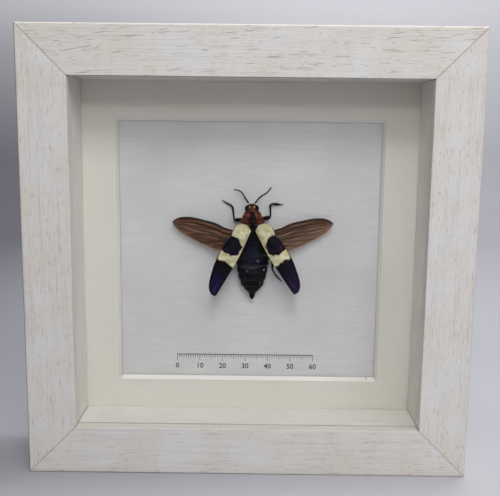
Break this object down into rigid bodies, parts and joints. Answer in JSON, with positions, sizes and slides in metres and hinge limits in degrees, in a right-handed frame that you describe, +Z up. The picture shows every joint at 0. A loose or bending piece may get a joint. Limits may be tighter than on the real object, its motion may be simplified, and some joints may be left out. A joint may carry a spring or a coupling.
{
  "type": "framed beetle specimen",
  "caption": "Deep square box frame of lime-washed wood with a glazed front, a bevelled mat and a jewel beetle with spread wings fixed to the board behind it.",
  "frame": {"origin": "middle of the whole frame's underside, on the surface that it stands on", "axes": "+X to the right as seen from the front, +Y back into the frame and away from the viewer, +Z up"},
  "size_m": [0.18, 0.036, 0.18],
  "materials": {
    "limed_wood": "lime-washed open-pored wood, satin",
    "limed_spacer": "lime-washed wood strip, matte",
    "float_glass": "clear float glass",
    "mat_card": "cream uncoated card with a white bevelled core",
    "white_card": "white laid-textured card",
    "hardboard": "brown hardboard",
    "zinc_plated_steel": "zinc-plated sheet steel",
    "brassed_steel": "brass-plated sheet steel",
    "elytron_cuticle": "glossy cuticle, cream with violet-black bands",
    "wing_membrane": "brown folded membrane",
    "red_cuticle": "metallic red-brown wrinkled cuticle",
    "black_cuticle": "glossy black cuticle",
    "blue_black_cuticle": "metallic blue-black cuticle",
    "clear_glue": "clear dried glue"
  },
  "bodies": {
    "root": {"abdomen": "blue_black_cuticle", "antenna_left": "black_cuticle", "antenna_right": "black_cuticle", "back_panel": "hardboard", "elytron_left": "elytron_cuticle", "elytron_right": "elytron_cuticle", "foreleg_left": "black_cuticle", "foreleg_right": "black_cuticle", "glass": "float_glass", "glue_dab": "clear_glue", "hanger": "brassed_steel", "hanger_rivet_left": "brassed_steel", "hanger_rivet_right": "brassed_steel", "head": "red_cuticle", "hindleg_left": "black_cuticle", "hindleg_right": "black_cuticle", "hindwing_left": "wing_membrane", "hindwing_right": "wing_membrane", "mat": "mat_card", "midleg_left": "black_cuticle", "midleg_right": "black_cuticle", "pronotum": "red_cuticle", "rail_bottom": "limed_wood", "rail_left": "limed_wood", "rail_right": "limed_wood", "rail_top": "limed_wood", "retaining_tab_bottom_1": "zinc_plated_steel", "retaining_tab_bottom_2": "zinc_plated_steel", "retaining_tab_left_1": "zinc_plated_steel", "retaining_tab_left_2": "zinc_plated_steel", "retaining_tab_right_1": "zinc_plated_steel", "retaining_tab_right_2": "zinc_plated_steel", "retaining_tab_top_1": "zinc_plated_steel", "retaining_tab_top_2": "zinc_plated_steel", "spacer_bottom": "limed_spacer", "spacer_left": "limed_spacer", "spacer_right": "limed_spacer", "spacer_top": "limed_spacer", "specimen_board": "white_card", "thorax": "black_cuticle"}
  },
  "joints": []
}
